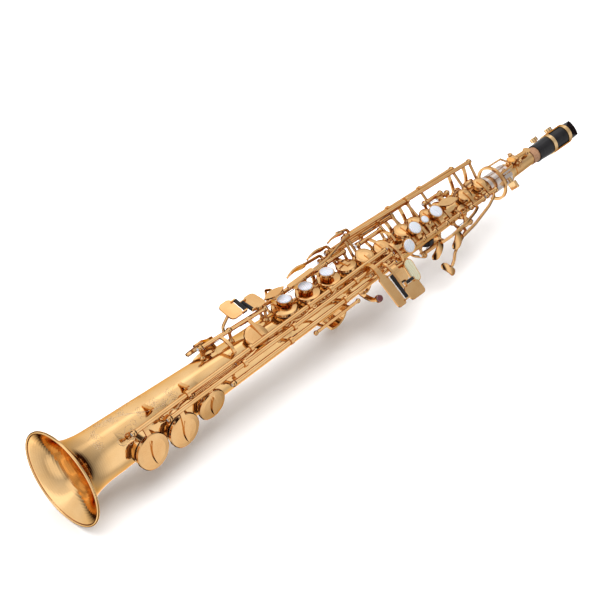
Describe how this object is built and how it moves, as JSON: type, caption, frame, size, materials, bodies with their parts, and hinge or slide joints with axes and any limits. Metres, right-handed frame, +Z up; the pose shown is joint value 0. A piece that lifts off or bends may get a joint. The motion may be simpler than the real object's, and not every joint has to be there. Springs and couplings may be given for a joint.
{
  "type": "soprano saxophone",
  "caption": "Straight soprano saxophone with a detachable neck: conical brass body and flared bell, padded keywork on hinge rods, finger pearls, and a mouthpiece with reed and ligature.",
  "frame": {"origin": "centre of the bell mouth, in the plane of the rim", "axes": "+X along the bore from the bell mouth to the mouthpiece tip, +Z up on the side of the finger pearls, +Y on the right-hand side"},
  "size_m": [0.695, 0.1095, 0.092],
  "materials": {
    "lacquered_brass": "polished brass under clear gold lacquer",
    "hinge_steel": "polished steel rod",
    "nickel_plate": "nickel-plated brass",
    "gilt_brass": "gold-plated brass",
    "thumb_rest_black": "satin black resin",
    "felt": "dense wool felt",
    "cork": "bare cork",
    "ebonite": "polished hard rubber",
    "cane": "bare reed cane",
    "black_roller": "polished black resin",
    "nacre": "mother-of-pearl, polished"
  },
  "bodies": {
    "body": {"bell": "lacquered_brass", "body_tube": "lacquered_brass", "key_posts": "lacquered_brass", "hinge_rods": "hinge_steel", "neck_receiver": "nickel_plate", "thumb_hook": "lacquered_brass", "thumb_rest": "thumb_rest_black", "strap_ring": "lacquered_brass", "felt_bumpers": "felt"},
    "low_bb_key": {"low_bb_key": "lacquered_brass"},
    "low_b_key": {"low_b_key": "lacquered_brass"},
    "low_csharp_lever": {"low_csharp_lever": "lacquered_brass"},
    "low_csharp_key": {"low_csharp_key": "lacquered_brass"},
    "low_c_key": {"low_c_key": "lacquered_brass"},
    "eb_key": {"eb_key": "lacquered_brass"},
    "d_key": {"d_key": "lacquered_brass", "d_pearl": "nacre"},
    "e_key": {"e_key": "lacquered_brass", "e_pearl": "nacre"},
    "f_key": {"f_key": "lacquered_brass", "f_pearl": "nacre"},
    "fsharp_key": {"fsharp_key": "lacquered_brass"},
    "trill_key": {"trill_key": "lacquered_brass"},
    "g_key": {"g_key": "lacquered_brass", "g_pearl": "nacre"},
    "gsharp_lever": {"gsharp_lever": "lacquered_brass", "gsharp_pearl": "nacre"},
    "gsharp_key": {"gsharp_key": "lacquered_brass"},
    "a_key": {"a_key": "lacquered_brass", "a_pearl": "nacre"},
    "bis_key": {"bis_key": "lacquered_brass", "bis_pearl": "nacre"},
    "b_key": {"b_key": "lacquered_brass", "b_pearl": "nacre"},
    "c_key": {"c_key": "lacquered_brass"},
    "front_f_key": {"front_f_key": "lacquered_brass"},
    "octave_lever": {"octave_lever": "lacquered_brass"},
    "vent_key": {"vent_key": "lacquered_brass"},
    "palm_d_key": {"palm_d_key": "lacquered_brass"},
    "palm_eb_key": {"palm_eb_key": "lacquered_brass"},
    "palm_f_key": {"palm_f_key": "lacquered_brass"},
    "side_bb_key": {"side_bb_key": "lacquered_brass"},
    "side_c_key": {"side_c_key": "lacquered_brass"},
    "side_e_key": {"side_e_key": "lacquered_brass"},
    "high_fsharp_key": {"high_fsharp_key": "lacquered_brass"},
    "neck": {"neck_tube": "lacquered_brass", "neck_cork": "cork", "neck_key_saddle": "lacquered_brass"},
    "neck_octave_key": {"neck_octave_key": "lacquered_brass"},
    "mouthpiece": {"mouthpiece": "ebonite", "reed": "cane"},
    "ligature": {"ligature": "gilt_brass"},
    "ligature_screw_rear": {"ligature_screw_rear": "gilt_brass"},
    "ligature_screw_front": {"ligature_screw_front": "gilt_brass"},
    "receiver_screw": {"receiver_screw": "gilt_brass"},
    "low_bb_roller": {"low_bb_roller": "black_roller"},
    "low_b_roller": {"low_b_roller": "black_roller"},
    "low_c_roller": {"low_c_roller": "black_roller"},
    "eb_roller": {"eb_roller": "black_roller"}
  },
  "joints": [
    {"name": "low_bb_key_hinge", "type": "hinge", "parent": "body", "child": "low_bb_key", "pos_m": [0.22085, -0.01844, 0.02588], "axis": [0.9997, 0.0229, 0.0086], "range_deg": [0, 11], "stiffness_Nm_per_rad": 0.03, "springref_deg": -34.38},
    {"name": "low_b_key_hinge", "type": "hinge", "parent": "body", "child": "low_b_key", "pos_m": [0.23975, -0.02405, 0.02192], "axis": [0.9996, 0.0214, 0.0156], "range_deg": [0, 11], "stiffness_Nm_per_rad": 0.03, "springref_deg": -34.38},
    {"name": "low_csharp_lever_hinge", "type": "hinge", "parent": "body", "child": "low_csharp_lever", "pos_m": [0.27385, -0.02905, 0.01638], "axis": [0.9995, 0.019, 0.0241], "range_deg": [0, 10], "stiffness_Nm_per_rad": 0.03, "springref_deg": -34.38},
    {"name": "low_csharp_key_hinge", "type": "hinge", "parent": "body", "child": "low_csharp_key", "pos_m": [0.155, -0.01906, 0.01841], "axis": [0.9998, 0.0144, -0.0139], "range_deg": [-10, 0]},
    {"name": "low_c_key_hinge", "type": "hinge", "parent": "body", "child": "low_c_key", "pos_m": [0.184, 0.00886, 0.02914], "axis": [0.9986, -0.0514, 0.0135], "range_deg": [-11, 0], "stiffness_Nm_per_rad": 0.03, "springref_deg": 34.38},
    {"name": "eb_key_hinge", "type": "hinge", "parent": "body", "child": "eb_key", "pos_m": [0.222, 0.0069, 0.02966], "axis": [0.9986, -0.0514, 0.0135], "range_deg": [-8, 0], "stiffness_Nm_per_rad": 0.03, "springref_deg": 34.38},
    {"name": "d_key_hinge", "type": "hinge", "parent": "body", "child": "d_key", "pos_m": [0.261, 0.01703, 0.0203], "axis": [1, 0, 0], "range_deg": [0, 5.5], "stiffness_Nm_per_rad": 0.03, "springref_deg": -34.38},
    {"name": "e_key_hinge", "type": "hinge", "parent": "body", "child": "e_key", "pos_m": [0.2905, 0.01703, 0.0203], "axis": [1, 0, 0], "range_deg": [0, 5.5], "stiffness_Nm_per_rad": 0.03, "springref_deg": -34.38},
    {"name": "f_key_hinge", "type": "hinge", "parent": "body", "child": "f_key", "pos_m": [0.319, 0.01703, 0.0203], "axis": [1, 0, 0], "range_deg": [0, 5.5], "stiffness_Nm_per_rad": 0.03, "springref_deg": -34.38},
    {"name": "fsharp_key_hinge", "type": "hinge", "parent": "body", "child": "fsharp_key", "pos_m": [0.345, 0.01703, 0.0203], "axis": [1, 0, 0], "range_deg": [0, 5.5], "stiffness_Nm_per_rad": 0.03, "springref_deg": -34.38},
    {"name": "trill_key_hinge", "type": "hinge", "parent": "body", "child": "trill_key", "pos_m": [0.299, 0.02663, 0.00865], "axis": [1, 0, 0], "range_deg": [0, 8], "stiffness_Nm_per_rad": 0.03, "springref_deg": -34.38},
    {"name": "g_key_hinge", "type": "hinge", "parent": "body", "child": "g_key", "pos_m": [0.389, -0.01782, 0.01202], "axis": [1, 0, 0], "range_deg": [-5.5, 0], "stiffness_Nm_per_rad": 0.03, "springref_deg": 34.38},
    {"name": "gsharp_lever_hinge", "type": "hinge", "parent": "body", "child": "gsharp_lever", "pos_m": [0.39045, -0.02614, 0.01003], "axis": [1, 0, 0], "range_deg": [0, 11], "stiffness_Nm_per_rad": 0.03, "springref_deg": -34.38},
    {"name": "gsharp_key_hinge", "type": "hinge", "parent": "body", "child": "gsharp_key", "pos_m": [0.3925, 0.01606, 0.01784], "axis": [1, 0, 0], "range_deg": [-7, 0]},
    {"name": "a_key_hinge", "type": "hinge", "parent": "body", "child": "a_key", "pos_m": [0.4255, -0.01782, 0.01202], "axis": [1, 0, 0], "range_deg": [-5.5, 0], "stiffness_Nm_per_rad": 0.03, "springref_deg": 34.38},
    {"name": "bis_key_hinge", "type": "hinge", "parent": "body", "child": "bis_key", "pos_m": [0.441, -0.01782, 0.01202], "axis": [1, 0, 0], "range_deg": [-5.5, 0], "stiffness_Nm_per_rad": 0.03, "springref_deg": 34.38},
    {"name": "b_key_hinge", "type": "hinge", "parent": "body", "child": "b_key", "pos_m": [0.4575, -0.01782, 0.01202], "axis": [1, 0, 0], "range_deg": [-5.5, 0], "stiffness_Nm_per_rad": 0.03, "springref_deg": 34.38},
    {"name": "c_key_hinge", "type": "hinge", "parent": "body", "child": "c_key", "pos_m": [0.475, -0.01782, 0.01202], "axis": [1, 0, 0], "range_deg": [-5.5, 0], "stiffness_Nm_per_rad": 0.03, "springref_deg": 34.38},
    {"name": "front_f_key_hinge", "type": "hinge", "parent": "body", "child": "front_f_key", "pos_m": [0.4785, 0.01125, 0.01949], "axis": [1, 0, 0], "range_deg": [0, 6], "stiffness_Nm_per_rad": 0.03, "springref_deg": -34.38},
    {"name": "octave_lever_hinge", "type": "hinge", "parent": "body", "child": "octave_lever", "pos_m": [0.456, -0.01009, -0.0168], "axis": [1, 0, 0], "range_deg": [0, 5], "stiffness_Nm_per_rad": 0.03, "springref_deg": -34.38},
    {"name": "vent_key_hinge", "type": "hinge", "parent": "body", "child": "vent_key", "pos_m": [0.498, 0.01379, 0.01077], "axis": [1, 0, 0], "range_deg": [-8, 0], "stiffness_Nm_per_rad": 0.03, "springref_deg": 34.38},
    {"name": "palm_d_key_hinge", "type": "hinge", "parent": "body", "child": "palm_d_key", "pos_m": [0.494, -0.01902, -0.00618], "axis": [1, 0, 0], "range_deg": [0, 6], "stiffness_Nm_per_rad": 0.03, "springref_deg": -34.38},
    {"name": "palm_eb_key_hinge", "type": "hinge", "parent": "body", "child": "palm_eb_key", "pos_m": [0.514, -0.01678, 0.00892], "axis": [1, 0, 0], "range_deg": [0, 6], "stiffness_Nm_per_rad": 0.03, "springref_deg": -34.38},
    {"name": "palm_f_key_hinge", "type": "hinge", "parent": "body", "child": "palm_f_key", "pos_m": [0.53625, -0.01602, 0.00925], "axis": [1, 0, 0], "range_deg": [0, 6], "stiffness_Nm_per_rad": 0.03, "springref_deg": -34.38},
    {"name": "side_bb_key_hinge", "type": "hinge", "parent": "body", "child": "side_bb_key", "pos_m": [0.391, 0.0306, 0.00936], "axis": [0.9998, -0.0195, -0.006], "range_deg": [0, 8], "stiffness_Nm_per_rad": 0.03, "springref_deg": -34.38},
    {"name": "side_c_key_hinge", "type": "hinge", "parent": "body", "child": "side_c_key", "pos_m": [0.405, 0.0298, 0.01585], "axis": [0.9999, -0.012, -0.0064], "range_deg": [0, 8], "stiffness_Nm_per_rad": 0.03, "springref_deg": -34.38},
    {"name": "side_e_key_hinge", "type": "hinge", "parent": "body", "child": "side_e_key", "pos_m": [0.4495, 0.02767, 0.0224], "axis": [0.9998, -0.0144, -0.0117], "range_deg": [0, 8], "stiffness_Nm_per_rad": 0.03, "springref_deg": -34.38},
    {"name": "high_fsharp_key_hinge", "type": "hinge", "parent": "body", "child": "high_fsharp_key", "pos_m": [0.4545, 0.02167, 0.02618], "axis": [0.9996, -0.0257, -0.0154], "range_deg": [0, 8], "stiffness_Nm_per_rad": 0.03, "springref_deg": -34.38},
    {"name": "neck_swivel", "type": "hinge", "parent": "body", "child": "neck", "pos_m": [0.57, 0, 0], "axis": [1, 0, 0], "range_deg": [-15, 15]},
    {"name": "neck_octave_key_hinge", "type": "hinge", "parent": "neck", "child": "neck_octave_key", "pos_m": [0.594, 0, 0.0126], "axis": [0, -1, 0], "range_deg": [0, 4], "stiffness_Nm_per_rad": 0.03, "springref_deg": -34.38},
    {"name": "mouthpiece_slide", "type": "slide", "parent": "neck", "child": "mouthpiece", "axis": [1, 0, 0], "range_m": [-0.003, 0.018]},
    {"name": "ligature_slide", "type": "slide", "parent": "mouthpiece", "child": "ligature", "axis": [1, 0, 0], "range_m": [0, 0.012]},
    {"name": "ligature_screw_rear_turn", "type": "hinge", "parent": "ligature", "child": "ligature_screw_rear", "pos_m": [0.6503, 0.00862, -0.01103], "axis": [0, 0.788, 0.6157], "continuous": true},
    {"name": "ligature_screw_front_turn", "type": "hinge", "parent": "ligature", "child": "ligature_screw_front", "pos_m": [0.6743, 0.00862, -0.01103], "axis": [0, 0.788, 0.6157], "continuous": true},
    {"name": "receiver_screw_turn", "type": "hinge", "parent": "body", "child": "receiver_screw", "pos_m": [0.571, -0.00733, 0.00873], "axis": [0, 0.766, 0.6428], "continuous": true},
    {"name": "low_bb_roller_spin", "type": "hinge", "parent": "low_bb_key", "child": "low_bb_roller", "pos_m": [0.36141, -0.04956, 0.01569], "axis": [0.0015, -0.829, -0.5592], "continuous": true},
    {"name": "low_b_roller_spin", "type": "hinge", "parent": "low_b_key", "child": "low_b_roller", "pos_m": [0.37527, -0.04974, 0.0143], "axis": [1, -0.0026, 0.0044], "continuous": true},
    {"name": "low_c_roller_spin", "type": "hinge", "parent": "low_c_key", "child": "low_c_roller", "pos_m": [0.22449, 0.01703, 0.03892], "axis": [-0.0035, 0.9817, 0.1905], "continuous": true},
    {"name": "eb_roller_spin", "type": "hinge", "parent": "eb_key", "child": "eb_roller", "pos_m": [0.2294, 0.0135, 0.0368], "axis": [0, 1, 0], "continuous": true}
  ],
  "couplings": [
    {"joint": "low_csharp_key_hinge", "follows": "low_csharp_lever_hinge", "ratio": -1},
    {"joint": "gsharp_key_hinge", "follows": "gsharp_lever_hinge", "ratio": -0.63},
    {"joint": "neck_octave_key_hinge", "follows": "octave_lever_hinge", "ratio": 0.79}
  ]
}
